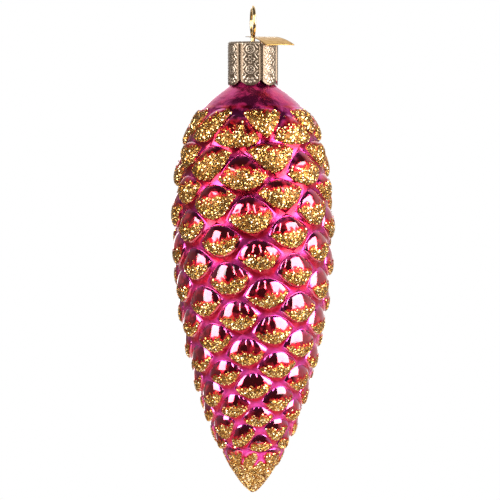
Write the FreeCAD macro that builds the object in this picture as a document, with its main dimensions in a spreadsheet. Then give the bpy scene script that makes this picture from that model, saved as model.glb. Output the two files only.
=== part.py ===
"""Glass pine cone ornament: blown glass body, fluted metal cap, wire hanger and foil tag.

Millimetres, +Z up, the front towards -Y. The origin is the inner top of the wire loop,
where a hook or a thread carries the ornament, so everything hangs below it.
Bearings are turns about the vertical, counted from the front towards +X.
"""
import FreeCAD
import Part
import math
import os

Vector = FreeCAD.Vector
UP = Vector(0, 0, 1)
document = FreeCAD.newDocument("pine_cone_ornament")

# Driving dimensions: alias, value, meaning
SIZES = [
    ("wire_diameter", 0.78, "thickness of the hanger wire"),
    ("loop_radius", 3.9, "centre line radius of the loop"),
    ("loop_turn", 6.5, "bearing of the loop's front leg, degrees"),
    ("foot_radius", 1.2, "bend between the loop and a leg"),
    ("leg_spacing", 3.4, "between the two legs where they pass the cap"),
    ("leg_rise", 0.9, "straight run of a leg above the cap"),
    ("leg_run", 1.6, "straight run of a leg below the cap's top"),
    ("leg_bend", 3.0, "bend where a leg starts to spread"),
    ("leg_tail", 2.1, "how far a leg reaches below the neck"),
    ("leg_play", 0.15, "play between a spread leg and the neck"),
    ("cap_radius", 6.5, "cap radius over the panels"),
    ("cap_height", 11.4, "cap height down to the tongue tips"),
    ("cap_wall", 0.3, "sheet thickness of the cap"),
    ("cap_corner", 0.75, "rounding of the cap's upper corner"),
    ("cap_turn", -6.0, "bearing of the first panel, degrees"),
    ("panel_count", 7, "fluted panels round the cap"),
    ("fold_depth", 0.4, "depth of the folds between the panels"),
    ("tongue_length", 1.45, "from the folds' ends down to the tongue tips"),
    ("hole_play", 0.2, "play of the wire in its holes, on the diameter"),
    ("seat_gap", 0.05, "play between the cap and the neck's rim"),
    ("neck_play", 0.45, "play between the folds and the neck"),
    ("neck_cover", 0.9, "how far the tongues reach below the straight neck"),
    ("collar_flare", 0.55, "how much the neck widens down to the tongue tips"),
    ("glass_wall", 0.75, "thickness of the glass"),
    ("shoulder_height", 5.5, "from the tongue tips down to the scales"),
    ("shoulder_bow", 0.25, "how far the shoulder bows out of a straight cone"),
    ("rim_radius", 12.7, "radius where the scales begin"),
    ("rim_step", 0.02, "step between the smooth shoulder and the scales"),
    ("upper_height", 34.5, "from the rim of the scales down to the widest place"),
    ("widest_radius", 19.95, "greatest radius in the valleys"),
    ("body_height", 100.3, "from the rim of the scales down to the tip"),
    ("upper_bow", 2.6, "fullness of the upper half"),
    ("upper_round", 0.75, "roundness of the upper half"),
    ("lower_bow", 1.7, "fullness of the lower half"),
    ("lower_round", 0.7, "roundness of the lower half"),
    ("scale_count", 138, "scales from the rim to the tip"),
    ("tip_length", 4.9, "from the last scales down to the tip"),
    ("spiral_start", 201.1, "bearing of the first scale, degrees"),
    ("spiral_drift", 6.455, "bearing of a scale over the one thirteen further down, degrees"),
    ("pitch_loss", 1.116e-5, "cubic loss of the spiral's pitch towards both ends"),
    ("relief", 1.6, "height of the widest scales over the valleys"),
    ("crease", 0.35, "depth of the crease over the widest scales"),
    ("scale_width", 0.68, "scale outline, share of its cell's width"),
    ("scale_length", 0.82, "scale outline, share of its cell's height"),
    ("rim_scale_width", 0.84, "the same width for a scale at the very rim"),
    ("rim_scale_length", 0.67, "the same height for a scale at the very rim"),
    ("lower_lean", 0.8, "how much further the highest points sink on the lower scales, share"),
    ("tag_length", 13.2, "tag from point to point"),
    ("tag_width", 10.4, "tag across its side lobes"),
    ("tag_waist", 0.25, "how far the tag's sides curve inwards"),
    ("tag_point", 0.35, "rounding of the tag's points"),
    ("tag_foil", 0.15, "thickness of the foil"),
    ("tag_bow", 16.0, "radius that the foil is bent to"),
    ("tag_crease_turn", 115.0, "bearing of the foil's crest, degrees"),
    ("tag_turn", 78.0, "bearing of the tag's long point, degrees"),
    ("tag_hole_inset", 2.3, "from the tag's short point to its hole"),
    ("tag_play", 0.9, "play of the wire in the tag's hole, on the diameter"),
    ("tag_rest", 0.1, "play between the foil and the cap's edge"),
]

sheet = document.addObject("Spreadsheet::Sheet", "sizes")
for row, (alias, value, meaning) in enumerate(SIZES, start=1):
    sheet.set("A%d" % row, str(value))
    sheet.setAlias("A%d" % row, alias)
    sheet.set("B%d" % row, meaning)
document.recompute()


def size(alias):
    """A driving dimension from the sheet, as a plain number."""
    return float(getattr(sheet, alias))


def count(alias):
    """A driving count from the sheet."""
    return int(round(size(alias)))


def bind(feature, **expressions):
    """Ties properties of a feature to cells of the sheet."""
    for name, expression in expressions.items():
        feature.setExpression(name, expression)
    return feature


def shape_feature(name, shape):
    """A feature that holds a shape made with Part's functions."""
    feature = document.addObject("Part::Feature", name)
    feature.Shape = shape
    return feature


def turned(name, profile):
    """A solid of revolution about the vertical, from a face in the XZ plane."""
    feature = document.addObject("Part::Revolution", name)
    feature.Source = profile
    feature.Axis = UP
    feature.Angle = 360
    feature.Solid = False
    return feature


def boolean(kind, name, base, tool):
    """A Part::Cut, Part::Fuse or Part::Common of two features."""
    feature = document.addObject("Part::" + kind, name)
    feature.Base = base
    feature.Tool = tool
    return feature


def compass(bearing):
    """Horizontal unit vector at a bearing in degrees."""
    angle = math.radians(bearing)
    return Vector(math.sin(angle), -math.cos(angle), 0)


def line(start, end):
    """Straight edge."""
    return Part.LineSegment(start, end).toShape()


def arc(start, middle, end):
    """Circular edge through three points."""
    return Part.Arc(start, middle, end).toShape()


def outline(*corners):
    """Closed wire with straight sides."""
    return Part.makePolygon(list(corners) + [corners[0]])


def loop_point(out, height):
    """Point in the plane of the loop, so far towards its front leg."""
    return compass(size("loop_turn")) * out + UP * height


# Heights and radii shared by the pieces

loop_centre = size("wire_diameter") / 2 - size("loop_radius")
foot_out = size("leg_spacing") / 2 + size("foot_radius")
foot_drop = math.sqrt((size("loop_radius") + size("foot_radius")) ** 2 - foot_out ** 2)
cap_top = loop_centre - foot_drop - size("leg_rise")
cap_bottom = cap_top - size("cap_height")
neck_top = cap_top - size("cap_wall") - size("seat_gap")
neck_end = cap_bottom + size("neck_cover")
neck_radius = size("cap_radius") - size("fold_depth") - size("cap_wall") - size("neck_play")
neck_bore = neck_radius - size("glass_wall")
rim_height = cap_bottom - size("shoulder_height")
widest_height = rim_height - size("upper_height")
tip_height = rim_height - size("body_height")
ring_height = tip_height + size("tip_length")

# Glass body: spiral of scales

FAMILIES = (5, 8)           # numbers between a scale and its neighbours on either side
TURN_COUNT = sum(FAMILIES)  # scales in one levelled turn, and the one straight below
WINDINGS = 5                # times that the spiral goes round for those scales
LEVEL_TURNS = 3             # turns over which the pattern levels out at either end
FULL_PITCH = 0.28           # share of the scales above the place of the widest pitch
RING = 8                    # corners of each ring of facets on a scale
POINTED = 0.6               # how much the scale's outline narrows towards its sides
# Rings of a scale: share of its outline, how far it sinks, lift of its top and of its foot
BROW_RING = (0.84, 0.06, 0.42, 0.72)
CREST_RING = (0.48, 0.17, 0.82, 0.95)
APEX_SINK = 0.27            # how far the highest point lies below the middle
LEAN_RUN = 0.5              # share of the lower half over which that grows

spiral_turn = (360 * WINDINGS - size("spiral_drift")) / TURN_COUNT


def spiral_height(place):
    """Height on the spiral, where place runs from 0 at the rim to the number of scales."""
    middle = FULL_PITCH * count("scale_count")

    def run(steps):
        return steps - size("pitch_loss") * ((steps - middle) ** 3 + middle ** 3)

    return rim_height - (rim_height - ring_height) * run(place) / run(count("scale_count"))


def family_turn(steps):
    """Turn between a scale and the one so many numbers on, within half a turn."""
    turn = -spiral_turn * steps
    return turn - 360 * round(turn / 360)


def junction(number):
    """Bearing and height of the meeting point of a scale with the three below it.

    Over the last turns at either end these points draw level, so that the pattern
    starts and ends in a ring.
    """
    bearing = size("spiral_start") - spiral_turn * number
    bearing += sum(family_turn(steps) for steps in FAMILIES) / 2
    last = count("scale_count") - 1
    above = (number + TURN_COUNT) // TURN_COUNT
    below = (last - number) // TURN_COUNT
    middle = number
    if above < LEVEL_TURNS:
        middle = TURN_COUNT * (above - 1) + TURN_COUNT // 2
    elif below < LEVEL_TURNS:
        middle = last - TURN_COUNT * below - TURN_COUNT // 2
    share = 1 - min(above, below, LEVEL_TURNS) / LEVEL_TURNS
    place = number + share * (middle - number) + (TURN_COUNT + 1) / 2
    return bearing, spiral_height(place)


def body_radius(height):
    """Radius of the glass in the valleys between the scales."""
    if height >= widest_height:
        share = min(1.0, (height - widest_height) / (rim_height - widest_height))
        bulge = (1 - share ** size("upper_bow")) ** size("upper_round")
        return size("rim_radius") + (size("widest_radius") - size("rim_radius")) * bulge
    share = min(1.0, (widest_height - height) / (widest_height - tip_height))
    return size("widest_radius") * (1 - share ** size("lower_bow")) ** size("lower_round")


def meridian(height, offset):
    """Radius and height of a point that lies off the valley surface, outwards."""
    step = 0.05
    high = min(height + step, rim_height)
    low = high - 2 * step
    slope = (body_radius(high) - body_radius(low)) / (high - low)
    length = math.hypot(1, slope)
    return body_radius(height) + offset / length, height - offset * slope / length


def surface_point(bearing, height, offset):
    """Point over the valley surface."""
    radius, level = meridian(height, offset)
    return compass(bearing) * radius + UP * level


class Cell:
    """Rhombic field of one scale, with across and along running from -1 to 1."""

    def __init__(self, number):
        left, right = FAMILIES
        bearing = size("spiral_start") - spiral_turn * number
        self.corners = [self.near(bearing, number - steps) for steps in (TURN_COUNT, right, 0, left)]
        middle = (self.corners[1][1] + self.corners[3][1]) / 2
        spread = math.sqrt(body_radius(middle) / size("widest_radius"))
        self.rise = size("relief") * spread
        self.crease = size("crease") * spread * min(1, (rim_height - self.corners[0][1]) / size("relief"))
        levelled = 1 - min((number + TURN_COUNT) // TURN_COUNT, LEVEL_TURNS) / LEVEL_TURNS
        self.width = size("scale_width") + levelled * (size("rim_scale_width") - size("scale_width"))
        self.length = size("scale_length") + levelled * (size("rim_scale_length") - size("scale_length"))
        lowered = (widest_height - middle) / (widest_height - ring_height) / LEAN_RUN
        self.lean = 1 + size("lower_lean") * min(1, max(0, lowered))

    def near(self, bearing, number):
        """Junction with its bearing within half a turn of the scale's own."""
        corner, height = junction(number)
        return corner - 360 * round((corner - bearing) / 360), height

    def point(self, across, along, lift):
        """Point of the scale, raised by a share of its full rise."""
        first = along + across
        second = along - across
        weights = ((1 + first) * (1 + second) / 4, (1 + first) * (1 - second) / 4,
                   (1 - first) * (1 - second) / 4, (1 - first) * (1 + second) / 4)
        bearing = sum(weight * corner[0] for weight, corner in zip(weights, self.corners))
        height = sum(weight * corner[1] for weight, corner in zip(weights, self.corners))
        return surface_point(bearing, height, lift * self.rise)

    def border(self):
        """Corners and side middles of the cell, in the valleys."""
        places = ((0, 1), (0.5, 0.5), (1, 0), (0.5, -0.5), (0, -1), (-0.5, -0.5), (-1, 0), (-0.5, 0.5))
        return [self.point(across, along, 0) for across, along in places]

    def ring(self, share, sink, upper_lift, lower_lift):
        """Ring like the scale's eye-shaped outline, smaller, lower and raised."""
        points = []
        for place in range(RING):
            angle = 2 * math.pi * place / RING
            across = share * self.width * math.sin(angle) * abs(math.sin(angle)) ** POINTED
            along = share * self.length * math.cos(angle)
            lift = (upper_lift + lower_lift + (upper_lift - lower_lift) * math.cos(angle)) / 2
            points.append(self.point(across, along - sink * self.lean, lift))
        return points


def strip(outer, inner):
    """Triangles between two rings of as many points."""
    triangles = []
    for place in range(len(outer)):
        after = (place + 1) % len(outer)
        triangles.append((outer[place], outer[after], inner[place]))
        triangles.append((outer[after], inner[after], inner[place]))
    return triangles


def fan(ring, apex):
    """Triangles from a ring to one point."""
    return [(ring[place], ring[(place + 1) % len(ring)], apex) for place in range(len(ring))]


def scale_facets(cell):
    """One scale: valley, steep lower lip, full lower half and a long upper slope."""
    border = cell.border()
    foot = cell.ring(1, 0, -cell.crease / cell.rise, 0)
    brow, crest = cell.ring(*BROW_RING), cell.ring(*CREST_RING)
    apex = cell.point(0, -APEX_SINK * cell.lean, 1)
    return strip(border, foot) + strip(foot, brow) + strip(brow, crest) + fan(crest, apex)


def level_ring(first, height):
    """Ring of one turn of junctions and side middles on a level circle."""
    bearings = sorted(junction(number)[0] % 360 for number in range(first, first + TURN_COUNT))
    after = bearings[1:] + [bearings[0] + 360]
    halves = [(one + other) / 2 for one, other in zip(bearings, after)]
    places = [bearing for pair in zip(bearings, halves) for bearing in pair]
    return [surface_point(bearing, height, 0) for bearing in places]


def tip_facets():
    """Plain rounded tip below the last scales."""
    ring = level_ring(count("scale_count") - TURN_COUNT, ring_height)
    waist_height = (ring_height + tip_height) / 2
    share = body_radius(waist_height) / body_radius(ring_height)
    waist = [Vector(point.x * share, point.y * share, waist_height) for point in ring]
    return strip(ring, waist) + fan(waist, UP * tip_height)


# Glass body: neck, smooth shoulder and inside

BORE_FLATS = 30                     # flats round the hollow
BOW_STATIONS = (0.25, 0.5, 0.75)    # places on the shoulder, as shares of its length
HOLLOW_STATIONS = (0.02, 0.08, 0.18, 0.36, 0.54, 0.7, 0.84, 0.94)
TIP_WALLS = 2.5                     # thickness of the glass at the tip, in walls


def shoulder_points():
    """Half section from the end of the straight neck down to the rim of the scales."""
    collar = Vector(neck_radius + size("collar_flare"), 0, cap_bottom)
    rim = Vector(size("rim_radius") + size("rim_step"), 0, rim_height)
    outwards = Vector(collar.z - rim.z, 0, rim.x - collar.x).normalize()
    points = [Vector(neck_radius, 0, neck_end), collar]
    for share in BOW_STATIONS:
        bow = 4 * size("shoulder_bow") * share * (1 - share)
        points.append(collar + (rim - collar) * share + outwards * bow)
    return points + [rim]


def inside_points():
    """Half section of the hollow, one wall inside the glass, from the mouth to the tip."""
    wall = size("glass_wall")
    shoulder = shoulder_points()
    points = [Vector(neck_bore, 0, neck_top), Vector(neck_bore, 0, neck_end)]
    for before, place, after in zip(shoulder, shoulder[1:], shoulder[2:]):
        inwards = Vector(after.z - before.z, 0, before.x - after.x).normalize()
        points.append(place + inwards * wall)
    depth = size("body_height") - TIP_WALLS * wall
    for share in HOLLOW_STATIONS:
        radius, height = meridian(rim_height - depth * share, -wall)
        points.append(Vector(radius, 0, height))
    return points


def flat_ring(radius, height):
    """Corners of a many-sided ring."""
    step = 360 / BORE_FLATS
    return [compass(step * place) * radius + UP * height for place in range(BORE_FLATS)]


def ring_face(radius, height, hole):
    """Flat ring between a circle and a closed outline."""
    disc = Part.Face(Part.Wire(Part.makeCircle(radius, UP * height)))
    return disc.cut(Part.Face(outline(*hole))).Faces


def inside_faces():
    """Flats of the hollow, closed at the tip."""
    rings = [flat_ring(point.x, point.z) for point in inside_points()]
    faces = []
    for upper, lower in zip(rings, rings[1:]):
        for place in range(BORE_FLATS):
            after = (place + 1) % BORE_FLATS
            faces.append(Part.Face(outline(upper[place], upper[after], lower[after], lower[place])))
    floor = UP * (tip_height + TIP_WALLS * size("glass_wall"))
    return faces + [Part.Face(outline(*corners)) for corners in fan(rings[-1], floor)]


def build_glass():
    """Hollow blown body: faceted scales below a smooth shoulder, and an open neck."""
    triangles = tip_facets()
    for number in range(count("scale_count")):
        triangles += scale_facets(Cell(number))
    faces = [Part.Face(outline(*corners)) for corners in triangles]
    faces += ring_face(size("rim_radius") + size("rim_step"), rim_height, level_ring(-TURN_COUNT, rim_height))
    outside = [Vector(neck_radius, 0, neck_top)] + shoulder_points()
    for start, end in zip(outside, outside[1:]):
        faces += line(start, end).revolve(Vector(0, 0, 0), UP, 360).Faces
    faces += ring_face(neck_radius, neck_top, flat_ring(neck_bore, neck_top))
    faces += inside_faces()
    shell = Part.makeShell(faces)
    shell.sewShape()
    solid = Part.Solid(shell)
    if solid.Volume < 0:
        solid.reverse()
    return shape_feature("glass_body", solid)


glass_body = build_glass()

# Cap

CORNER_TURNS = (0, 30, 60, 90)      # bevels that round the crown's corner, degrees


def panel_bearings():
    """Bearing of each panel's middle."""
    step = 360 / count("panel_count")
    return [size("cap_turn") + step * panel for panel in range(count("panel_count"))]


def fluted_section(inset, height):
    """Face bounded by one outward arc for each panel, meeting in the folds."""
    half = 180 / count("panel_count")
    radius = size("cap_radius") - inset
    fold = radius - size("fold_depth")
    edges = []
    for bearing in panel_bearings():
        start = compass(bearing - half) * fold + UP * height
        middle = compass(bearing) * radius + UP * height
        end = compass(bearing + half) * fold + UP * height
        edges.append(arc(start, middle, end))
    return Part.Face(Part.Wire(edges))


def fluted_column(name, inset):
    """Fluted solid from below the cap up to its top, smaller than the cap by an inset."""
    section = shape_feature(name + "_section", fluted_section(inset, cap_bottom - inset))
    column = document.addObject("Part::Extrusion", name)
    column.Base = section
    column.Dir = UP
    bind(column, LengthFwd="sizes.cap_height")
    return column


def crown(name, inset):
    """Body of revolution whose upper edge is rounded off in steps."""
    radius = size("cap_radius") - inset
    corner = size("cap_corner") - inset / 2
    centre = Vector(radius - corner, 0, cap_top - inset - corner)
    low = Vector(radius, 0, cap_bottom - 2 * inset)
    rounding = []
    for turn in CORNER_TURNS:
        angle = math.radians(turn)
        rounding.append(centre + Vector(math.sin(angle), 0, math.cos(angle)) * corner)
    corners = [Vector(0, 0, cap_top - inset)] + rounding + [low, Vector(0, 0, low.z)]
    return turned(name, shape_feature(name + "_section", Part.Face(outline(*corners))))


def tongue_cutter(bearing):
    """Prism below the rounded tongue at the foot of one panel."""
    out = compass(bearing)
    side = compass(bearing + 90)
    radius = size("cap_radius")
    half = (radius - size("fold_depth")) * math.sin(math.pi / count("panel_count"))
    fold_end = cap_bottom + size("tongue_length")
    base = out * (neck_bore / 2)
    left = base - side * half + UP * fold_end
    right = base + side * half + UP * fold_end
    low = UP * (2 * size("tongue_length"))
    edges = [arc(left, base + UP * cap_bottom, right), line(right, right - low),
             line(right - low, left - low), line(left - low, left)]
    return Part.Face(Part.Wire(edges)).extrude(out * radius)


def build_cap():
    """Thin fluted cap with a rounded crown, tongues at its lower edge and two wire holes."""
    wall = size("cap_wall")
    outside = boolean("Common", "cap_outside", fluted_column("cap_column", 0), crown("cap_crown", 0))
    inside = boolean("Common", "cap_inside", fluted_column("cap_hollow_column", wall),
                     crown("cap_hollow_crown", wall))
    shell = boolean("Cut", "cap_shell", outside, inside)
    cutters = Part.makeCompound([tongue_cutter(bearing) for bearing in panel_bearings()])
    blank = boolean("Cut", "cap_edged", shell, shape_feature("cap_tongue_cutters", cutters))
    for sign, side, name in ((1, "front", "cap_one_hole"), (-1, "back", "cap")):
        hole = document.addObject("Part::Cylinder", "cap_%s_hole" % side)
        bind(hole, Radius="(sizes.wire_diameter + sizes.hole_play) / 2", Height="3 * sizes.cap_wall")
        hole.Placement.Base = loop_point(sign * size("leg_spacing") / 2, cap_top - 2 * size("cap_wall"))
        blank = boolean("Cut", name, blank, hole)
    return blank


cap = build_cap()

# Hanger wire

WIRE_FLATS = 12             # flats that stand for the wire's round section


def hanger_path():
    """Centre line of the wire: spread leg, hole, loop, hole, spread leg."""
    radius = size("loop_radius")
    foot = size("foot_radius")
    out = size("leg_spacing") / 2
    foot_height = loop_centre - foot_drop
    touch = radius / (radius + foot)
    touch_out = foot_out * touch
    touch_height = loop_centre - foot_drop * touch
    turn = math.atan2(foot_drop, foot_out) / 2
    middle_out = foot_out - foot * math.cos(turn)
    middle_height = foot_height + foot * math.sin(turn)
    bend_height = cap_top - size("leg_run")
    contact = neck_bore - size("leg_play") - size("wire_diameter") / 2
    spread = math.atan2(contact - out, bend_height - neck_end)
    bend = size("leg_bend")
    tangent = bend * math.tan(spread / 2)
    end_height = neck_end - size("leg_tail")
    edges = []
    for side in (-1, 1):
        def at(distance, height):
            return loop_point(side * distance, height)
        end = at(out + math.tan(spread) * (bend_height - end_height), end_height)
        bend_low = at(out + tangent * math.sin(spread), bend_height - tangent * math.cos(spread))
        bend_middle = at(out + bend * (1 - math.cos(spread / 2)),
                         bend_height + tangent - bend * math.sin(spread / 2))
        bend_high = at(out, bend_height + tangent)
        foot_start = at(out, foot_height)
        foot_end = at(touch_out, touch_height)
        leg = [line(end, bend_low), arc(bend_low, bend_middle, bend_high), line(bend_high, foot_start),
               arc(foot_start, at(middle_out, middle_height), foot_end)]
        edges += leg
    loop = arc(loop_point(-touch_out, touch_height), loop_point(0, size("wire_diameter") / 2),
               loop_point(touch_out, touch_height))
    return Part.Wire(Part.__sortEdges__(edges + [loop]))


def build_hanger():
    """Wire swept along its centre line, its round section drawn with flats."""
    path = hanger_path()
    first = path.OrderedEdges[0]
    section = document.addObject("Part::RegularPolygon", "hanger_section")
    section.Polygon = WIRE_FLATS
    bind(section, Circumradius="sizes.wire_diameter / 2")
    section.Placement = FreeCAD.Placement(path.OrderedVertexes[0].Point,
                                          FreeCAD.Rotation(UP, first.tangentAt(first.FirstParameter)))
    spine = shape_feature("hanger_path", path)
    sweep = document.addObject("Part::Sweep", "hanger_wire")
    sweep.Sections = [section]
    sweep.Spine = (spine, ["Edge%d" % number for number in range(1, len(path.Edges) + 1)])
    sweep.Solid = True
    sweep.Frenet = False
    return sweep


hanger_wire = build_hanger()

# Hang tag

def build_tag():
    """Four-pointed foil, threaded on the front leg and bent over the cap's edge."""
    along = compass(size("tag_turn"))
    across = compass(size("tag_turn") - 90)
    hole_place = loop_point(size("leg_spacing") / 2, 0)
    near = -size("tag_hole_inset")
    far = near + size("tag_length")
    middle = (near + far) / 2
    half = size("tag_width") / 2
    places = [(near, 0), (middle, half), (far, 0), (middle, -half)]
    corners = [hole_place + along * one + across * other for one, other in places]
    centre = hole_place + along * middle
    edges = []
    for start, end in zip(corners, corners[1:] + corners[:1]):
        inwards = (centre - (start + end) / 2).normalize()
        edges.append(arc(start, (start + end) / 2 + inwards * size("tag_waist"), end))
    face = Part.Face(Part.Wire(edges))
    face.translate(UP * cap_bottom)
    prism = face.extrude(UP * -cap_bottom)
    upright = [edge for edge in prism.Edges if abs(edge.tangentAt(edge.FirstParameter).z) > 0.99]
    blank = shape_feature("tag_blank", prism.makeFillet(size("tag_point"), upright))
    rest = size("cap_radius") - size("cap_corner")
    lift = size("tag_bow") - math.sqrt(size("tag_bow") ** 2 - rest ** 2) + size("tag_rest")
    roll_centre = UP * (cap_top + lift - size("tag_bow"))
    crest = compass(size("tag_crease_turn"))
    rolls = []
    for name, radius in (("outer", "sizes.tag_bow + sizes.tag_foil"), ("inner", "sizes.tag_bow")):
        roll = document.addObject("Part::Cylinder", "tag_roll_" + name)
        bind(roll, Radius=radius, Height="4 * sizes.tag_length")
        start = roll_centre - crest * (2 * size("tag_length"))
        roll.Placement = FreeCAD.Placement(start, FreeCAD.Rotation(UP, crest))
        rolls.append(roll)
    foil = boolean("Cut", "tag_sheet", *rolls)
    bent = boolean("Common", "tag_bent", foil, blank)
    hole = document.addObject("Part::Cylinder", "tag_hole")
    bind(hole, Radius="(sizes.wire_diameter + sizes.tag_play) / 2")
    hole.Height = -cap_top
    hole.Placement.Base = hole_place + UP * cap_top
    return boolean("Cut", "hang_tag", bent, hole)


hang_tag = build_tag()

# Check and export

document.recompute()
for item in document.Objects:
    faults = [state for state in item.State if state in ("Invalid", "Error")]
    if faults:
        raise RuntimeError("%s did not build: %s" % (item.Name, ", ".join(faults)))

PIECES = {"glass_body": glass_body, "cap": cap, "hanger_wire": hanger_wire, "hang_tag": hang_tag}
for label, piece in PIECES.items():
    piece.Label = label
    if piece.Shape.isNull() or not piece.Shape.isValid():
        raise RuntimeError("%s has no valid shape" % label)
    if len(piece.Shape.Solids) != 1:
        raise RuntimeError("%s is not one solid" % label)

os.makedirs("parts", exist_ok=True)
for label, piece in PIECES.items():
    piece.Shape.exportStep(os.path.join("parts", label + ".step"))
    box = piece.Shape.BoundBox
    print("%-12s %9.1f mm3  x %.2f..%.2f  y %.2f..%.2f  z %.2f..%.2f"
          % (label, piece.Shape.Volume, box.XMin, box.XMax, box.YMin, box.YMax, box.ZMin, box.ZMax))
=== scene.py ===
"""Pine cone ornament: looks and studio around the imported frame.

The body is blown glass, silvered inside and lacquered pink outside, with gold glitter
glued to the lower part of each scale. The scales follow the same spiral as the CAD
model, so its sizes are repeated here in millimetres and degrees. Bearings are turns
about the vertical, counted from the front towards +X. Blender objects are in metres.
"""
import math
import random

import bpy
import numpy as np
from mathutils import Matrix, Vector, noise
from mathutils.geometry import delaunay_2d_cdt


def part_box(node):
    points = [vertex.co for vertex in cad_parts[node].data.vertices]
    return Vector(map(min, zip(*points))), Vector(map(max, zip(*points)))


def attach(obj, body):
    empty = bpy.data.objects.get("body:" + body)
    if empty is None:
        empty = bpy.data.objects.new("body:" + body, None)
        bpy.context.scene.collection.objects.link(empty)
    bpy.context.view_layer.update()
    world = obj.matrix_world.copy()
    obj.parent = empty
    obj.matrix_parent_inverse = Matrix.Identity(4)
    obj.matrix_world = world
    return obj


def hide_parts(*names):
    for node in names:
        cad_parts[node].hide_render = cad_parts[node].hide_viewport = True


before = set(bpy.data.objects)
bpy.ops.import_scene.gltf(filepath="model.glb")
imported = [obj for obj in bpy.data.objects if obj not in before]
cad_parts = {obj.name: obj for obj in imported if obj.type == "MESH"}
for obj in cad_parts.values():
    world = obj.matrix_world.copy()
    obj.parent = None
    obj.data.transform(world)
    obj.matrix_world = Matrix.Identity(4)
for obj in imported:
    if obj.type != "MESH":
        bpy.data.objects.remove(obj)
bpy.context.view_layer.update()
MM = 0.001
SEED = 11
random.seed(SEED)
dice = np.random.default_rng(SEED)

# Sizes of the glass, as in the CAD model

RIM_RADIUS = 12.7
WIDEST_RADIUS = 19.95
SHOULDER_HEIGHT = 5.5
SHOULDER_BOW = 0.25
UPPER_HEIGHT = 34.5
UPPER_BOW = 2.6
UPPER_ROUND = 0.75
LOWER_BOW = 1.7
LOWER_ROUND = 0.7
TIP_LENGTH = 4.9
GLASS_WALL = 0.75
RELIEF = 1.6
CREASE = 0.35
SCALE_COUNT = 138
SPIRAL_START = 201.1
SPIRAL_DRIFT = 6.455
PITCH_LOSS = 1.116e-5
FULL_PITCH = 0.28
FAMILIES = (5, 8)
TURN = sum(FAMILIES)
WINDINGS = 5
LEVEL_TURNS = 3

# Sizes of the cap, the wire and the tag, as in the CAD model

CAP_RADIUS = 6.5
CAP_WALL = 0.3
CAP_CORNER = 0.75
CAP_TURN = -6.0
PANELS = 7
FOLD_DEPTH = 0.4
TONGUE_LENGTH = 1.45
NECK_PLAY = 0.45
NECK_COVER = 0.9
COLLAR_FLARE = 0.55
WIRE_DIAMETER = 0.78
HOLE_PLAY = 0.2
LOOP_RADIUS = 3.9
LOOP_TURN = 6.5
FOOT_RADIUS = 1.2
LEG_SPACING = 3.4
LEG_RUN = 1.6
LEG_BEND = 3.0
LEG_TAIL = 2.1
LEG_PLAY = 0.15
TAG_LENGTH = 13.2
TAG_WIDTH = 10.4
TAG_FOIL = 0.15
TAG_BOW = 16.0
TAG_CREASE_TURN = 115.0
TAG_TURN = 78.0
TAG_HOLE_INSET = 2.3
TAG_PLAY = 0.9
TAG_REST = 0.1
TAG_WAIST = 0.25

# Heights, from the frame

cap_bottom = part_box("cap")[0][2] / MM
cap_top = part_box("cap")[1][2] / MM
tip_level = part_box("glass_body")[0][2] / MM
neck_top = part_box("glass_body")[1][2] / MM
rim_level = cap_bottom - SHOULDER_HEIGHT
widest_level = rim_level - UPPER_HEIGHT
ring_level = tip_level + TIP_LENGTH
neck_end = cap_bottom + NECK_COVER
neck_radius = CAP_RADIUS - FOLD_DEPTH - CAP_WALL - NECK_PLAY
spiral_turn = (360 * WINDINGS - SPIRAL_DRIFT) / TURN


# Helpers

def ramp(value, stops):
    """Value on a broken line through stops, each a place and its value."""
    places, values = zip(*stops)
    return np.interp(value, places, values)


def compass(bearing):
    """Horizontal unit vectors at bearings in degrees."""
    angle = np.radians(bearing)
    return np.stack([np.sin(angle), -np.cos(angle), np.zeros_like(angle)], axis=-1)


def placed(bearing, radius, level):
    """Points from bearing, radius and height, in metres."""
    points = compass(np.asarray(bearing, float)) * np.asarray(radius, float)[..., None]
    points[..., 2] = level
    return points * MM


def noise_at(points, scale):
    """Noise at each point, from -1 to 1, where scale is the size of its features in mm."""
    return np.array([noise.noise(Vector(point) / (scale * MM)) for point in points])


def grid_faces(rows, columns, start=0, flip=False):
    """Quads between rows of points, each row closed into a ring."""
    row, column = np.meshgrid(np.arange(rows - 1), np.arange(columns), indexing="ij")
    after = (column + 1) % columns
    quads = np.stack([row * columns + column, (row + 1) * columns + column,
                      (row + 1) * columns + after, row * columns + after], axis=-1)
    if flip:
        quads = quads[..., ::-1]
    return (quads.reshape(-1, 4) + start).tolist()


def fan_faces(start, count, apex):
    """Triangles between a ring of points and the point that closes it."""
    return [(start + place, apex, start + (place + 1) % count) for place in range(count)]


def weld(points, faces, layers):
    """Joins points that lie on each other."""
    keys = np.round(points / 1e-7).astype(np.int64)
    _, first, inverse = np.unique(keys, axis=0, return_index=True, return_inverse=True)
    inverse = inverse.reshape(-1)
    faces = [tuple(int(inverse[corner]) for corner in face) for face in faces]
    return points[first], faces, [layer[first] for layer in layers]


def make_object(name, points, faces, smooth=True, **layers):
    """Mesh object from points and faces, with float layers on its points."""
    mesh = bpy.data.meshes.new(name)
    mesh.from_pydata([tuple(point) for point in np.asarray(points).tolist()], [], faces)
    for label, values in layers.items():
        layer = mesh.attributes.new(label, "FLOAT", "POINT")
        layer.data.foreach_set("value", np.asarray(values, np.float32))
    mesh.polygons.foreach_set("use_smooth", [smooth] * len(mesh.polygons))
    mesh.validate()
    mesh.update()
    thing = bpy.data.objects.new(name, mesh)
    bpy.context.collection.objects.link(thing)
    return thing


def finish_piece(thing, node, material):
    """Puts a piece on the body, in place of a node, with its material."""
    thing.data.materials.append(material)
    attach(thing, "root")
    if node:
        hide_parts(node)


# Shader nodes

MIX_FACTOR, MIX_FIRST, MIX_SECOND, MIX_RESULT = 0, 6, 7, 2  # the Mix node's colour sockets


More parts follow.
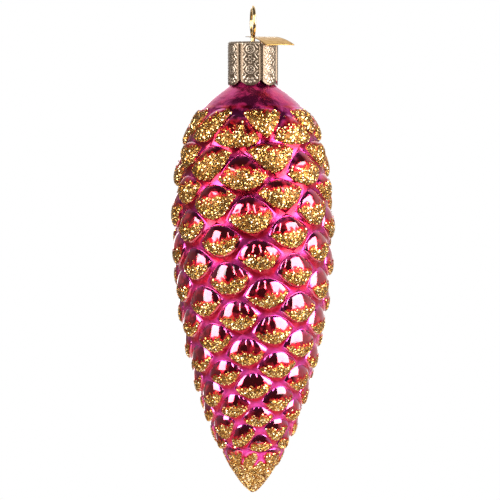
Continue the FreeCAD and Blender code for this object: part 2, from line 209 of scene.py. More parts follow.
def new_material(name, colour, metallic, roughness):
    """Material with one Principled shader, its node tree and the shader."""
    material = bpy.data.materials.new(name)
    material.use_nodes = True
    tree = material.node_tree
    shader = tree.nodes["Principled BSDF"]
    set_inputs(shader, {"Base Color": (*colour, 1), "Metallic": metallic, "Roughness": roughness})
    return material, tree, shader


def set_inputs(node, inputs):
    """Gives inputs of a node their values or links."""
    for name, value in inputs.items():
        if isinstance(value, bpy.types.NodeSocket):
            node.id_data.links.new(value, node.inputs[name])
        else:
            node.inputs[name].default_value = value


def add_node(tree, kind, inputs=None, **settings):
    """Adds a shader node, with settings and inputs."""
    node = tree.nodes.new("ShaderNode" + kind)
    for name, value in settings.items():
        setattr(node, name, value)
    set_inputs(node, inputs or {})
    return node


def joined(tree, kind, *values, **settings):
    """First output of a node whose inputs are given in order."""
    return add_node(tree, kind, dict(enumerate(values)), **settings).outputs[0]


def math_node(tree, operation, first, second):
    """Result of an operation on two values, each a socket or a number."""
    return joined(tree, "Math", first, second, operation=operation)


def mix_colours(tree, factor, first, second):
    """Mix of two colours, each a socket or a colour."""
    inputs = {MIX_FACTOR: factor, MIX_FIRST: first, MIX_SECOND: second}
    for place, value in inputs.items():
        if isinstance(value, tuple):
            inputs[place] = (*value, 1)
    return add_node(tree, "Mix", inputs, data_type="RGBA").outputs[MIX_RESULT]


def noise_texture(tree, scale, detail, roughness=0.5):
    """Noise in the object's own coordinates; scale is in features per metre."""
    vector = add_node(tree, "TexCoord").outputs["Object"]
    inputs = {"Vector": vector, "Scale": scale, "Detail": detail, "Roughness": roughness}
    return add_node(tree, "TexNoise", inputs).outputs["Fac"]


def stretch(tree, value, spans):
    """Maps a value from the first span to the second, and keeps it within the second."""
    (low, high), (to_low, to_high) = spans
    return add_node(tree, "MapRange", {
        "Value": value, "From Min": low, "From Max": high,
        "To Min": to_low, "To Max": to_high}).outputs[0]


def colour_ramp(tree, factor, stops):
    """Colour ramp from places and colours."""
    node = add_node(tree, "ValToRGB", {"Fac": factor})
    elements = node.color_ramp.elements
    while len(elements) < len(stops):
        elements.new(0.5)
    for element, (place, colour) in zip(elements, stops):
        element.position = place
        element.color = (*colour, 1)
    return node.outputs["Color"]


def bump(tree, height, distance):
    """Normal of a bump from a height, with its depth in metres."""
    return add_node(tree, "Bump", {"Height": height, "Distance": distance}).outputs["Normal"]


def attribute(tree, name):
    """Value of a float layer of the mesh."""
    return add_node(tree, "Attribute", attribute_name=name).outputs["Fac"]


# Materials. The first span of a pair is stretched to the second.

VALLEY_PINK = (0.74, 0.064, 0.40)
# Painted reflection: the deep red that the domes show from light bouncing between the scales, put
# into their colour.
PAINTED_REFLECTION_RED = (0.60, 0.016, 0.024)
# Painted shadow: deep red where shade falls under the scales' lips, on the lower side of each
# dome's foot, and at half strength off the scales.
PAINTED_SHADE_RED = (0.46, 0.008, 0.03)
FRINGE_RED = (0.56, 0.008, 0.02)
GLUE_BROWN = (0.30, 0.12, 0.03)
LACQUER_GRAIN = 420  # features per metre
LACQUER_RIPPLE = 0.00014  # depth, m
GRAIN_DEPTH = 0.00002  # m
GLITTER_GOLD = (0.72, 0.43, 0.10)
FLAKE_COLOURS = (
    (0.0, (0.12, 0.03, 0.006)),
    (0.3, (0.52, 0.23, 0.04)),
    (0.6, (0.84, 0.51, 0.14)),
    (0.85, (0.96, 0.75, 0.36)),
    (1.0, (1.0, 0.94, 0.72)),
)


def glass_material():
    """Silvered glass under clear pink lacquer, redder in random patches where the lacquer lies
    thick, with a painted deep-red reflection over the domes and a painted red shadow under the
    lips.
    """
    material, tree, shader = new_material("pink_mirror_glass", VALLEY_PINK, 1.0, 0.06)
    dome, cover, net = [attribute(tree, name) for name in ("dome", "cover", "net")]
    pooled = noise_texture(tree, LACQUER_GRAIN, 3)
    # Redness: random patches where the lacquer lies thick, and a painted deep-red reflection over
    # the domes.
    redness = math_node(tree, "MAXIMUM", stretch(tree, pooled, ((0.42, 0.66), (0, 0.45))),
                        stretch(tree, dome, ((0.02, 0.5), (0, 0.95))))
    lacquer = mix_colours(tree, redness, VALLEY_PINK, PAINTED_REFLECTION_RED)
    # Painted shadow: deep red under the lips, at the domes' lower foot and off the scales.
    lacquer = mix_colours(tree, attribute(tree, "pool"), lacquer, PAINTED_SHADE_RED)
    fringe = stretch(tree, cover, ((0, 0.3), (0, 1)))
    blushed = mix_colours(tree, fringe, lacquer, FRINGE_RED)
    glued = stretch(tree, cover, ((0.35, 0.75), (0, 1)))
    set_inputs(shader, {
        "Base Color": mix_colours(tree, glued, blushed, GLUE_BROWN),
        "Metallic": stretch(tree, pooled, ((0.51, 0.68), (0.98, 0.55))),
        "Roughness": math_node(tree, "MAXIMUM", stretch(tree, net, ((0, 1), (0.05, 0.45))),
                               stretch(tree, fringe, ((0, 1), (0, 0.5)))),
        "Coat Weight": math_node(tree, "MULTIPLY", stretch(tree, dome, ((0, 0.12), (0.12, 1))),
                                 stretch(tree, fringe, ((0, 0.5), (1, 0)))),
        "Coat Roughness": 0.03,
        "Coat IOR": 1.75,
        "Normal": bump(tree, noise_texture(tree, LACQUER_GRAIN, 2), LACQUER_RIPPLE)})
    return material


def glitter_material():
    """Gold glitter: each flake has a tone of its own."""
    material, tree, shader = new_material("gold_glitter", GLITTER_GOLD, 1.0, 0.28)
    tone = attribute(tree, "tone")
    set_inputs(shader, {"Base Color": colour_ramp(tree, tone, FLAKE_COLOURS),
                        "Roughness": stretch(tree, tone, ((0, 1), (0.34, 0.1)))})
    return material


def metal_material(name, colour, dark, roughness, grain, recess_shade=None, metallic=1.0):
    """Thin metal with a faint grain; a darker colour between the stamped lines is painted shade
    in the recesses.
    """
    material, tree, shader = new_material(name, colour, metallic, roughness)
    speckle = noise_texture(tree, grain, detail=4, roughness=0.6)
    shade = stretch(tree, speckle, ((0.35, 0.7), (0, 0.35)))
    if recess_shade:
        lines = stretch(tree, attribute(tree, "stamp"), ((0.15, 0.7), (0, 1)))
        # Painted shade: the darker colour shows in the recesses between the stamped lines.
        colour = mix_colours(tree, lines, recess_shade, colour)
    rough = ((0.3, 0.7), (roughness * 0.7, roughness * 1.5))
    set_inputs(shader, {"Base Color": mix_colours(tree, shade, colour, dark),
                        "Roughness": stretch(tree, speckle, rough),
                        "Normal": bump(tree, speckle, GRAIN_DEPTH)})
    return material


# Glass: the spiral of scales

SLOPE_STEP = 0.05  # mm


def spiral_height(place):
    """Height on the spiral, where place runs from 0 at the rim to the number of scales."""
    middle = FULL_PITCH * SCALE_COUNT

    def run(steps):
        return steps - PITCH_LOSS * ((steps - middle) ** 3 + middle ** 3)

    return rim_level - (rim_level - ring_level) * run(place) / run(SCALE_COUNT)


def family_turn(steps):
    """Turn between a scale and the one so many numbers on, within half a turn."""
    turn = -spiral_turn * steps
    return turn - 360 * round(turn / 360)


def junction(number):
    """Bearing and height of the meeting point of a scale with the three below it."""
    bearing = SPIRAL_START - spiral_turn * number
    bearing += sum(family_turn(steps) for steps in FAMILIES) / 2
    last = SCALE_COUNT - 1
    above = (number + TURN) // TURN
    below = (last - number) // TURN
    middle = number
    if above < LEVEL_TURNS:
        middle = TURN * (above - 1) + TURN // 2
    elif below < LEVEL_TURNS:
        middle = last - TURN * below - TURN // 2
    share = 1 - min(above, below, LEVEL_TURNS) / LEVEL_TURNS
    place = number + share * (middle - number) + (TURN + 1) / 2
    return bearing, spiral_height(place)


def body_radius(level):
    """Radius of the glass in the valleys, for an array of heights."""
    level = np.asarray(level, float)
    up = np.clip((level - widest_level) / UPPER_HEIGHT, 0, 1)
    down = np.clip((widest_level - level) / (widest_level - tip_level), 0, 1)
    upper = RIM_RADIUS + (WIDEST_RADIUS - RIM_RADIUS) * (1 - up ** UPPER_BOW) ** UPPER_ROUND
    lower = WIDEST_RADIUS * (1 - down ** LOWER_BOW) ** LOWER_ROUND
    return np.where(level >= widest_level, upper, lower)


def surface(bearing, level, offset):
    """Points off the valley surface, along its normal, in metres."""
    run = 2 * SLOPE_STEP
    high = np.minimum(level + SLOPE_STEP, rim_level)
    slope = (body_radius(high) - body_radius(high - run)) / run
    length = np.hypot(1, slope)
    return placed(bearing, body_radius(level) + offset / length, level - offset * slope / length)


# Glass: one scale. Its cell spans -1 to 1 across and along. Depths are mm below the origin.

SIDE_STEPS = 10  # points along each side of a cell
AROUND = 4 * SIDE_STEPS
VALLEY_STEPS = 3
DOME_SHARES = (1.0, 0.985, 0.955, 0.91, 0.85, 0.77, 0.67, 0.55, 0.42, 0.28, 0.14)
POINTED = 0.6  # how pointed the eye shape is at its sides
SCALE_WIDTH = 0.64
SCALE_LENGTH = 0.88
RIM_SCALE_WIDTH = 0.78
RIM_SCALE_LENGTH = 0.7
BROADENING = ((68, 1), (110, 1.28))  # by depth
RISE_SPREAD = (0.86, 1.0)
WIDTH_SPREAD = (0.95, 1.03)
LENGTH_SPREAD = (0.94, 1.02)
SKEW_SPREAD = (-0.07, 0.07)
DROP_SPREAD = (0.8, 1.15)
TIP_RISE = ((-119, 0.3), (-112, 1.0))  # share of the relief, by height
APEX_DROP = 0.27  # how far the highest point lies below the middle
LOWER_LEAN = 0.8  # how much further it sinks on the lower scales
LEAN_RUN = 0.5  # share of the lower half over which that grows
LEAN_POWER = 0.9
EDGE_POWER = 0.66
EDGE_POWER_SWING = 0.06
FADE_RUN = 3  # height over which the crease fades at both ends, mm
RIM_LOWERED = (0.2, 0.1)  # how much lower the first five scales and the next three sit
LOWERED_SHORTER = 0.3
LOWERED_REACH = 0.99
LOWERED_LEAST = 0.2
LOWERED_POWER = 8.0
GLITTER_ROOM = 0.2  # thickness kept for the glitter, mm

LIPS_ABOVE = ((-1, 1), (1, 1), (0, 2))  # middles of the three scales above
LIP_SHADE = ((1.2, 1), (1.55, 0))  # by distance, where 1 is the scale's edge
LIP_ROUNDING = 0.65
# How the painted shade on the dome's lower foot grows in.
FOOT_SHADE_RISE = ((0.78, 0), (0.88, 1))  # by share of the dome
NET_SHADE = ((-0.6 - rim_level, 0.12), (50, 0.5), (68, 1))  # by depth
GLITTER_EDGE = (  # by depth, height on a scale from -1 at its foot to 1
    (23.764, 0.85), (30.264, 0.62), (39.364, 0.5), (45.864, 0.42), (53.664, 0.29),
    (62.764, 0.13), (75.764, 0.09), (101.764, 0.12), (109.564, 0.17), (112.684, 0.3),
    (116.584, 0.4), (119.444, 1.6))
GLITTER_SIDES = ((30, 1.28), (48, 1.1), (60, 0.95))  # by depth, share of the dome
GLITTER_SIDE_LEAN = 0.09
GLITTER_SIDE_SLOPE = 9
GLITTER_THINNING = ((35, 1.5), (55, 2.2))  # by depth

CELL = np.array([(0, 1), (1, 0), (0, -1), (-1, 0)])  # its corners, across and along
SIDE_SHARES = np.arange(SIDE_STEPS)[:, None] / SIDE_STEPS
BORDER = np.concatenate([corner + (after - corner) * SIDE_SHARES
                         for corner, after in zip(CELL, np.roll(CELL, -1, axis=0))])
ANGLES = np.arange(AROUND) * 2 * math.pi / AROUND
UPRIGHT = np.cos(ANGLES)
EYE = np.stack([np.sin(ANGLES), UPRIGHT * np.abs(UPRIGHT) ** POINTED], axis=-1)
UPNESS = (1 + UPRIGHT) / 2
# Painted shade on the lower side of each dome's foot, from 0 to 1.
FOOT_SHADE = np.clip(-0.4 - 2.2 * UPRIGHT, 0, 1)


class Scale:
    """One scale with its cell: its points, how far they rise, and what lies on them."""

    def __init__(self, number):
        left, right = FAMILIES
        bearing = SPIRAL_START - spiral_turn * number
        self.corners = [self.near(bearing, number - steps) for steps in (TURN, right, 0, left)]
        self.level = (self.corners[1][1] + self.corners[3][1]) / 2
        spread = math.sqrt(float(body_radius(self.level)) / WIDEST_RADIUS)
        self.rise = RELIEF * spread * random.uniform(*RISE_SPREAD)
        self.rise *= ramp(self.level, TIP_RISE)
        self.crease = CREASE * spread
        levelled = 1 - min((number + TURN) // TURN, LEVEL_TURNS) / LEVEL_TURNS
        broad = ramp(-self.level, BROADENING)
        self.width = SCALE_WIDTH + levelled * (RIM_SCALE_WIDTH - SCALE_WIDTH)
        self.width *= random.uniform(*WIDTH_SPREAD)
        self.width *= broad
        self.length = SCALE_LENGTH + levelled * (RIM_SCALE_LENGTH - SCALE_LENGTH)
        self.length *= random.uniform(*LENGTH_SPREAD)
        self.length /= broad
        self.skew = random.uniform(*SKEW_SPREAD)
        down = (widest_level - self.level) / (widest_level - ring_level)
        lean = 1 + LOWER_LEAN * min(1, max(0, down / LEAN_RUN))
        self.drop = APEX_DROP * lean * random.uniform(*DROP_SPREAD)
        self.lowered = 0.0
        if number < right:
            self.lowered = RIM_LOWERED[number >= left]
        self.length -= LOWERED_SHORTER * self.lowered

    def near(self, bearing, number):
        """Junction of a number, with its bearing within half a turn of another."""
        corner, level = junction(number)
        return corner - 360 * round((corner - bearing) / 360), level

    def rings(self):
        """Rings from the border to the middle: across and along, offset, lift, place.

        The place is the share of the dome, from 1 at its edge, and over 1 in the valley.
        """
        shape = EYE * [self.width, self.length]
        if self.lowered:
            steepness = np.maximum(np.abs(shape[:, 0]) - shape[:, 1], LOWERED_LEAST)
            room = (LOWERED_REACH - self.lowered) / steepness
            shape = shape * ((1 + room ** -LOWERED_POWER) ** (-1 / LOWERED_POWER))[:, None]
        eye = shape - [0, self.lowered]
        room = min(rim_level - self.corners[0][1], self.corners[2][1] - ring_level)
        crease = self.crease * min(1.0, max(0.0, room / FADE_RUN))
        rows = []
        for step in range(VALLEY_STEPS + 1):
            share = step / (VALLEY_STEPS + 1)
            flat = BORDER + (eye - BORDER) * share
            depth = -crease * (0.5 + (UPNESS - 0.5) * share)
            rows.append((flat, depth, np.zeros(AROUND), 2 - share))
        power = EDGE_POWER + EDGE_POWER_SWING * UPRIGHT
        for share in DOME_SHARES:
            sink = self.drop * (1 - share) ** LEAN_POWER
            flat = shape * share + [self.skew * (1 - share), -sink - self.lowered]
            lift = (1 - share ** 2) ** power
            depth = -crease * UPNESS * share ** 3 + (self.rise - GLITTER_ROOM) * lift
            rows.append((flat, depth, lift, share))
        return rows

    def place(self, flat, offset):
        """Points of the cell from across and along."""
        first = flat[:, 1] + flat[:, 0]
        second = flat[:, 1] - flat[:, 0]
        weights = ((1 + first) * (1 + second) / 4, (1 + first) * (1 - second) / 4,
                   (1 - first) * (1 - second) / 4, (1 - first) * (1 + second) / 4)
        bearing = sum(weight * corner[0] for weight, corner in zip(weights, self.corners))
        level = sum(weight * corner[1] for weight, corner in zip(weights, self.corners))
        return surface(bearing, level, offset)

    def shaded(self, flat):
        """How near points lie under the lip of this scale or of one above, from 0 to 1."""
        near = np.zeros(len(flat))
        for across, along in ((0, -self.lowered),) + LIPS_ABOVE:
            x = (flat[:, 0] - across) / self.width
            y = (flat[:, 1] - along) / self.length
            reach = (x ** 2 + np.abs(y) ** (2 / (1 + POINTED))) ** LIP_ROUNDING
            near = np.maximum(near, np.clip(-0.2 - 2 * y, 0, 1) * ramp(reach, LIP_SHADE))
        return near

    def pool(self, flat, share):
        """Painted shade: under the lips in the valley, and on the lower side of the dome's foot.
        """
        return self.shaded(flat) if share > 1 else FOOT_SHADE * ramp(share, FOOT_SHADE_RISE)

    def below_edge(self, upward):
        """How far heights on the scale lie below the glitter's edge."""
        depth = -self.level
        return (ramp(depth, GLITTER_EDGE) - upward) * ramp(depth, GLITTER_THINNING)

    def margin(self, flat, share):
        """How far points lie inside the glitter's edge."""
        sides = ramp(-self.level, GLITTER_SIDES) - GLITTER_SIDE_LEAN * (1 - UPNESS)
        below = self.below_edge((flat[:, 1] + self.lowered) / self.length)
        return np.minimum(below, (sides - share) * GLITTER_SIDE_SLOPE)

    def layers(self, rows, block):
        """Lift, painted shade, net and glitter margin of the points, the highest point last."""
        columns = []
        for (flat, _, lift, share), points in zip(rows, block):
            net = float(share >= 1) * ramp(-points[:, 2] / MM, NET_SHADE)
            columns.append((lift, self.pool(flat, share), net, self.margin(flat, share)))
        columns.append(([1.0], [0.0], [0.0], [self.below_edge(-self.drop / self.length)]))
        return np.array([np.concatenate(layer) for layer in zip(*columns)])


# Glass: the whole body

SHOULDER_RINGS = 12
TIP_RINGS = 8
HOLLOW_SHARES = np.linspace(0.03, 0.95, 24)
HOLLOW_WALL = 1.6  # in glass walls, measured across
HOLLOW_LEAST = 0.5
# Painted shade at half strength on the neck, shoulder and tip, off the scales.
PLAIN_SHADE = 0.5  # off the scales
PLAIN_NET = 0.4
TIP_MARGIN = 2.0
BARE_MARGIN = -9.0
INSIDE_MARGIN = -99.0
OUTSIDE_MARGIN = -50.0  # only the inside lies below this
TIP_COVER = ((-121.5, 1.6), (-119.5, 0.8), (-117.5, 0.1), (-114, -0.5))  # by height
TIP_COVER_TOP = -113
TIP_DOME = ((-120, 0), (-115, 1))
SWELL = 0.05  # mm
SWELL_SIZE = 4.5  # mm


def build_outside():
    """Points, faces and layers of the scaled outside, down to the last ring."""
    points, faces, layers = [], [], []
    first = 0
    for number in range(SCALE_COUNT):
        scale = Scale(number)
        rows = scale.rings()
        block = [scale.place(flat, offset) for flat, offset, _, _ in rows]
        layers.append(scale.layers(rows, block))
        middle = np.array([[scale.skew, -scale.drop - scale.lowered]])
        block.append(scale.place(middle, np.array([scale.rise - GLITTER_ROOM])))
        points += block
        faces += grid_faces(len(rows), AROUND, first)
        apex = first + len(rows) * AROUND
        faces += fan_faces(apex - AROUND, AROUND, apex)
        first = apex + 1
    return np.concatenate(points), faces, np.concatenate(layers, axis=1)


def level_bearings(first):
    """Bearings of the border points on a level ring of one turn of junctions."""
    bearings = sorted(junction(number)[0] % 360 for number in range(first, first + TURN))
    after = bearings[1:] + [bearings[0] + 360]
    shares = np.arange(SIDE_STEPS) / SIDE_STEPS
    return np.concatenate([low + (high - low) * shares for low, high in zip(bearings, after)])


def shoulder_profile():
    """Radius and height from the mouth of the neck down to just above the rim."""
    collar = np.array([neck_radius + COLLAR_FLARE, cap_bottom])
    rim = np.array([RIM_RADIUS, rim_level])
    outwards = np.array([collar[1] - rim[1], rim[0] - collar[0]])
    outwards = outwards / np.linalg.norm(outwards)
    points = [np.array([neck_radius, neck_top]), np.array([neck_radius, neck_end])]
    for share in np.linspace(0, 1, SHOULDER_RINGS + 1)[:-1]:
        bow = 4 * SHOULDER_BOW * share * (1 - share)
        points.append(collar + (rim - collar) * share + outwards * bow)
    return np.array(points)


def hollow_profile(outside):
    """Radius and height of the hollow, from the mouth of the neck down."""
    points = [(neck_radius - GLASS_WALL, level) for level in (neck_top, neck_end)]
    points += [(radius - GLASS_WALL, level - GLASS_WALL) for radius, level in outside[3:]]
    for share in HOLLOW_SHARES:
        level = rim_level + (tip_level - rim_level) * share
        radius = float(body_radius(level)) - HOLLOW_WALL * GLASS_WALL
        points.append((max(radius, HOLLOW_LEAST), level))
    return points


def build_glass():
    """The whole glass body: neck, shoulder, scales, tip and hollow."""
    outside, faces, layers = build_outside()
    rim_bearings = level_bearings(-TURN)
    tip_bearings = level_bearings(SCALE_COUNT - TURN)
    count = len(rim_bearings)

    neck = len(outside)
    profile = shoulder_profile()
    shoulder = [placed(rim_bearings, radius, level) for radius, level in profile]
    shoulder.append(surface(rim_bearings, np.full(count, rim_level), 0.0))
    faces += grid_faces(len(shoulder), count, neck)

    start = neck + len(shoulder) * count
    levels = ring_level + (tip_level - ring_level) * np.linspace(0, 1, TIP_RINGS + 1)[:-1]
    tip = [surface(tip_bearings, np.full(count, level), 0.0) for level in levels]
    tip.append(np.array([[0, 0, tip_level * MM]]))
    apex = start + len(levels) * count
    faces += grid_faces(len(levels), count, start) + fan_faces(apex - count, count, apex)

    mouth = apex + 1
    bore = hollow_profile(profile)
    hollow = [placed(rim_bearings, radius, level) for radius, level in bore]
    hollow.append(np.array([[0, 0, (bore[-1][1] - 0.5) * MM]]))
    bottom = mouth + len(bore) * count
    last = bottom - count
    faces += grid_faces(len(bore), count, mouth, flip=True)
    faces += [(last + place, last + (place + 1) % count, bottom) for place in range(count)]
    faces += [(neck + place, neck + (place + 1) % count,
               mouth + (place + 1) % count, mouth + place) for place in range(count)]

    points = np.concatenate([outside] + shoulder + tip + hollow)
    at_tip = points[neck:, 2] / MM < ring_level + 0.1
    margin = np.where(at_tip, TIP_MARGIN, BARE_MARGIN)
    margin[mouth - neck:] = INSIDE_MARGIN
    plain = [np.full(len(margin), value) for value in (0.0, PLAIN_SHADE, PLAIN_NET)]
    layers = np.concatenate([layers, np.stack(plain + [margin])], axis=1)
    return weld(points, faces, layers)


def glitter_cover(points, margin):
    """How fully glitter covers each point, from 0 to 1, with a ragged edge."""
    levels = points[:, 2] / MM
    ragged = 0.6 * noise_at(points * [1, 1, 0.3], 1.0) + 0.35 * noise_at(points, 0.7)
    blotches = 1.3 * noise_at(points * [1, 1, 1.8], 2.6) + 0.5 * ragged
    cover = margin + 1.35 * ragged
    near_tip = (levels < TIP_COVER_TOP) & (margin > OUTSIDE_MARGIN)
    tip_cover = np.maximum(cover, ramp(levels, TIP_COVER) + blotches)
    return np.clip(np.where(near_tip, tip_cover, cover), 0, 1)


def swollen(points):
    """Points moved in and out a little, since blown glass is never quite even."""
    below_rim = np.clip((rim_level - points[:, 2] / MM) / 2, 0, 1)
    swell = noise_at(points, SWELL_SIZE) * SWELL * below_rim
    radial = points * [1, 1, 0]
    radial /= np.maximum(np.linalg.norm(radial, axis=1), 1e-6)[:, None]
    return points + radial * swell[:, None] * MM


glass_points, glass_faces, (dome, pool, net, margin) = build_glass()
cover = glitter_cover(glass_points, margin)
dome = dome * ramp(glass_points[:, 2] / MM, TIP_DOME)
glass_points = swollen(glass_points)
# The glass carries a layer of painted shadow under the scales' lips and at each dome's foot.
glass = make_object("pine_cone_glass", glass_points, glass_faces,
                    dome=dome, pool=pool, net=net, cover=cover)
finish_piece(glass, "glass_body", glass_material())


# Glitter: flakes scattered over the covered part of the glass

FLAKES = 60000
FLAKE_PIECES = 2
FLAKE_SIZE = (0.14, 0.30)  # half diagonal, mm
FLAKE_NARROW = (0.7, 1.0)  # the other diagonal, as a share of that
FLAKE_TILT = 0.8
FLAKE_OUT = (0.0, 0.1)  # of its middle from the glass, mm
FLAKE_REACH = 0.15  # how far a flake may stick out of the glass, mm
FLAKE_BACK = 0.6  # depth of its pointed back, in half diagonals
FLAKE_TONES = (1.6, 1.4)
COVER_DENSITY = (1.6, 0.15)


def scatter_flakes():
    """Centres and normals of the flakes, denser where the cover is fuller."""
    triangles = []
    for face in glass_faces:
        triangles.append((face[0], face[1], face[2]))
        if len(face) == 4:
            triangles.append((face[0], face[2], face[3]))
    corners = glass_points[np.array(triangles)]
    cross = np.cross(corners[:, 1] - corners[:, 0], corners[:, 2] - corners[:, 0])
    area = np.linalg.norm(cross, axis=1)
    gain, loss = COVER_DENSITY
    weight = area * np.clip(cover[np.array(triangles)].mean(axis=1) * gain - loss, 0, 1)
    normal = cross / np.maximum(area, 1e-15)[:, None]
    chosen = dice.choice(len(weight), FLAKES, p=weight / weight.sum())
    one, two = dice.random(FLAKES), dice.random(FLAKES)
    flip = one + two > 1
    one[flip], two[flip] = 1 - one[flip], 1 - two[flip]
    base = corners[chosen]
    along, aside = base[:, 1] - base[:, 0], base[:, 2] - base[:, 0]
    return base[:, 0] + along * one[:, None] + aside * two[:, None], normal[chosen]


def unit(vectors):
    """The vectors at length 1."""
    return vectors / np.maximum(np.linalg.norm(vectors, axis=1), 1e-12)[:, None]


def build_flakes(material):
    """Flakes as flat four-sided plates with a pointed back, set into the glue."""
    centre, normal = scatter_flakes()
    tilted = unit(normal + dice.normal(0, FLAKE_TILT / 2, (FLAKES, 3)))
    side = unit(np.cross(tilted, dice.normal(0, 1, (FLAKES, 3))))
    other = np.cross(tilted, side)
    size = dice.uniform(*FLAKE_SIZE, FLAKES)[:, None] * MM
    narrow = dice.uniform(*FLAKE_NARROW, FLAKES)[:, None]
    middle = centre + normal * dice.uniform(*FLAKE_OUT, FLAKES)[:, None] * MM
    corners = [middle + side * size, middle + other * size * narrow,
               middle - side * size, middle - other * size * narrow,
               middle - tilted * size * FLAKE_BACK]
    for corner in corners:
        above = ((corner - centre) * normal).sum(axis=1)[:, None] - FLAKE_REACH * MM
        corner -= normal * np.maximum(above, 0)
    tone = dice.beta(*FLAKE_TONES, FLAKES)
    for piece in range(FLAKE_PIECES):
        pick = np.arange(piece, FLAKES, FLAKE_PIECES)
        block = np.stack([corner[pick] for corner in corners], axis=1).reshape(-1, 3)
        block[:, 2] = np.maximum(block[:, 2], tip_level * MM)
        base = np.arange(len(pick)) * 5
        plates = np.stack([base, base + 1, base + 2, base + 3], axis=-1).tolist()
        for place in range(4):
            after = (place + 1) % 4
            plates += np.stack([base + after, base + place, base + 4], axis=-1).tolist()
        flakes = make_object("glitter_%d" % (piece + 1), block, plates, smooth=False,
                             tone=np.repeat(tone[pick], 5))
        finish_piece(flakes, None, material)


build_flakes(glitter_material())


# Cap: fluted and embossed sheet

PANEL_COLUMNS = 52
PANEL_ROWS = 112
INNER_ROWS = 6
OUTER_ROUNDING = np.radians(np.linspace(90, 0, 8))[:-1]
INNER_ROUNDING = np.radians([90.0, 45.0])
FOLD_SHARE = 0.09  # share of half a panel that bends into the fold
EMBOSS = 0.1
EMBOSS_SINK = 0.35  # share of it that lies below the sheet
# Stamp value of the plain sheet, which shows the painted recess shade at about half strength.
PLAIN_STAMP = 0.4
HOLE_SIDES = 24
PLATE_SPACING = 0.6 * MM
TOP_DENTS = (0.04, 1.5, 5.2)  # depth, size and reach from the axis, mm
half_panel = math.radians(180 / PANELS)

STAMP_ROWS = 3
ROW_PITCH = 2.65
FIRST_ROW = 2.1
RING_RADIUS = 1.0
LINE = 0.13  # widths of the stamped lines, mm
FINE_LINE = 0.11
FLOWER = (0.95, 2, 0.6, 0.1)  # reach, half the petals, bluntness and core
STAR = (0.5, 2.5, 0.5, 0.08)
FLOWER_EYE = 0.22
CHEVRON_POINT = 1.05
CHEVRON_END = (1.75, 0.95)
CHEVRON_LINE = 0.12
CHEVRON_HEIGHT = 0.9
STUD = (1.95, 0.16)  # place across and size
BEADS = ((-1.5, 9.45, 0.4), (-0.5, 9.75, 0.42), (0.5, 9.75, 0.42), (1.5, 9.45, 0.4),
         (-0.95, 10.35, 0.34), (0, 10.6, 0.42), (0.95, 10.35, 0.34))


def panel_point(share, inset):
    """Outward and sideways distance on a panel's flute, for shares from -1 to 1."""
    radius = CAP_RADIUS - inset
    fold = radius - FOLD_DEPTH
    chord = fold * math.sin(half_panel)
    sagitta = radius - fold * math.cos(half_panel)
    bend = (chord ** 2 + sagitta ** 2) / (2 * sagitta)
    across = bend * np.sin(share * math.asin(chord / bend))
    groove = np.clip((np.abs(across) / chord - 1 + FOLD_SHARE) / FOLD_SHARE, 0, 1)
    depth = math.sqrt(radius ** 2 - chord ** 2) - fold * math.cos(half_panel)
    return np.sqrt(radius ** 2 - across ** 2) - depth * groove ** 2 * (3 - 2 * groove), across


def soft_line(distance, width):
    """Height of a soft line, by distance from it."""
    return np.exp(-(distance / width) ** 2)


def petals(angle, reach, folds, bluntness, core):
    """Outline of a flower with twice as many petals as folds."""
    return reach * np.abs(np.cos(folds * angle)) ** bluntness + core


def segment_distance(x, y, start, end):
    """Distance from points to a segment."""
    ax, ay = start
    bx, by = end
    length = (bx - ax) ** 2 + (by - ay) ** 2
    share = np.clip(((x - ax) * (bx - ax) + (y - ay) * (by - ay)) / length, 0, 1)
    return np.hypot(x - ax - share * (bx - ax), y - ay - share * (by - ay))


def emboss_height(x, y):
    """Stamped ornament of a panel: x across and y down from the cap's top, in mm."""
    marks = []
    for row in range(STAMP_ROWS):
        centre = FIRST_ROW + ROW_PITCH * row
        radius, angle = np.hypot(x, y - centre), np.arctan2(y - centre, x)
        if row == 1:
            marks.append(soft_line(petals(angle, *FLOWER) - radius, LINE))
            marks.append(soft_line(radius, FLOWER_EYE))
        else:
            marks.append(soft_line(radius - RING_RADIUS, LINE))
            marks.append(soft_line(petals(angle, *STAR) - radius, FINE_LINE))
    for row in range(STAMP_ROWS + 1):
        centre = FIRST_ROW - ROW_PITCH / 2 + ROW_PITCH * row
        for side in (-1, 1):
            point = (side * CHEVRON_POINT, centre)
            for tail in (-CHEVRON_END[1], CHEVRON_END[1]):
                end = (side * CHEVRON_END[0], centre + tail)
                distance = segment_distance(x, y, point, end)
                marks.append(CHEVRON_HEIGHT * soft_line(distance, CHEVRON_LINE))
            marks.append(soft_line(np.hypot(x - side * STUD[0], y - centre), STUD[1]))
    for across, down, size in BEADS:
        bead = 1 - (np.hypot(x - across, y - down) / size) ** 2
        marks.append(np.sqrt(np.clip(bead, 0, 1)))
    return np.max(marks, axis=0)


def tongue_edge(share):
    """Height of the cap's lower edge along a panel: an arc between the folds."""
    fold = (CAP_RADIUS - FOLD_DEPTH) * math.sin(half_panel)
    bend = (fold ** 2 + TONGUE_LENGTH ** 2) / (2 * TONGUE_LENGTH)
    return cap_bottom + bend - np.sqrt(bend ** 2 - (share * fold) ** 2)


